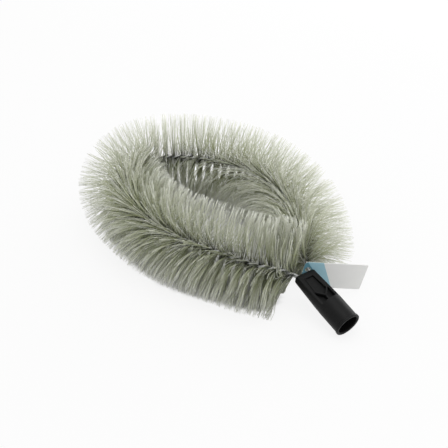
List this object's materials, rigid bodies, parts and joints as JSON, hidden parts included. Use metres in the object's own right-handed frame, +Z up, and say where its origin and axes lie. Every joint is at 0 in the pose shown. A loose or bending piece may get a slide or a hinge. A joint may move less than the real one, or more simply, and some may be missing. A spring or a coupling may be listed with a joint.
{
  "type": "cobweb brush",
  "caption": "Loop-shaped cobweb brush head: a twisted-wire bristle brush bent into a teardrop loop, held in a moulded pole socket, with a swinging hang tag.",
  "frame": {"origin": "middle of the whole brush's footprint, on the surface that it lies on", "axes": "+X from the loop towards the socket's mouth, +Y towards the strand that carries the tag, +Z up"},
  "size_m": [0.4246, 0.2708, 0.1051],
  "materials": {
    "socket_plastic": "moulded black plastic, matte",
    "stem_steel": "drawn galvanised wire, dull grey",
    "tag_card": "printed card, pale with a teal block at the hole end",
    "bristle_filament": "straight synthetic filaments, grey-green at the stem and near white at the tips"
  },
  "bodies": {
    "brush_head": {"socket": "socket_plastic", "stem_wire_1": "stem_steel", "stem_wire_2": "stem_steel", "bristle_turn_01": "bristle_filament", "bristle_turn_02": "bristle_filament", "bristle_turn_03": "bristle_filament", "bristle_turn_04": "bristle_filament", "bristle_turn_05": "bristle_filament", "bristle_turn_06": "bristle_filament", "bristle_turn_07": "bristle_filament", "bristle_turn_08": "bristle_filament", "bristle_turn_09": "bristle_filament", "bristle_turn_10": "bristle_filament", "bristle_turn_11": "bristle_filament", "bristle_turn_12": "bristle_filament", "bristle_turn_13": "bristle_filament", "bristle_turn_14": "bristle_filament", "bristle_turn_15": "bristle_filament", "bristle_turn_16": "bristle_filament", "bristle_turn_17": "bristle_filament", "bristle_turn_18": "bristle_filament", "bristle_turn_19": "bristle_filament", "bristle_turn_20": "bristle_filament", "bristle_turn_21": "bristle_filament", "bristle_turn_22": "bristle_filament", "bristle_turn_23": "bristle_filament", "bristle_turn_24": "bristle_filament", "bristle_turn_25": "bristle_filament", "bristle_turn_26": "bristle_filament", "bristle_turn_27": "bristle_filament", "bristle_turn_28": "bristle_filament", "bristle_turn_29": "bristle_filament", "bristle_turn_30": "bristle_filament", "bristle_turn_31": "bristle_filament"},
    "tag": {"hang_tag": "tag_card"}
  },
  "joints": [
    {"name": "tag_swing", "type": "hinge", "parent": "brush_head", "child": "tag", "pos_m": [0.13063, 0.00934, 0.03915], "axis": [0.8641, -0.479, -0.1547], "range_deg": [-45, 75]}
  ]
}
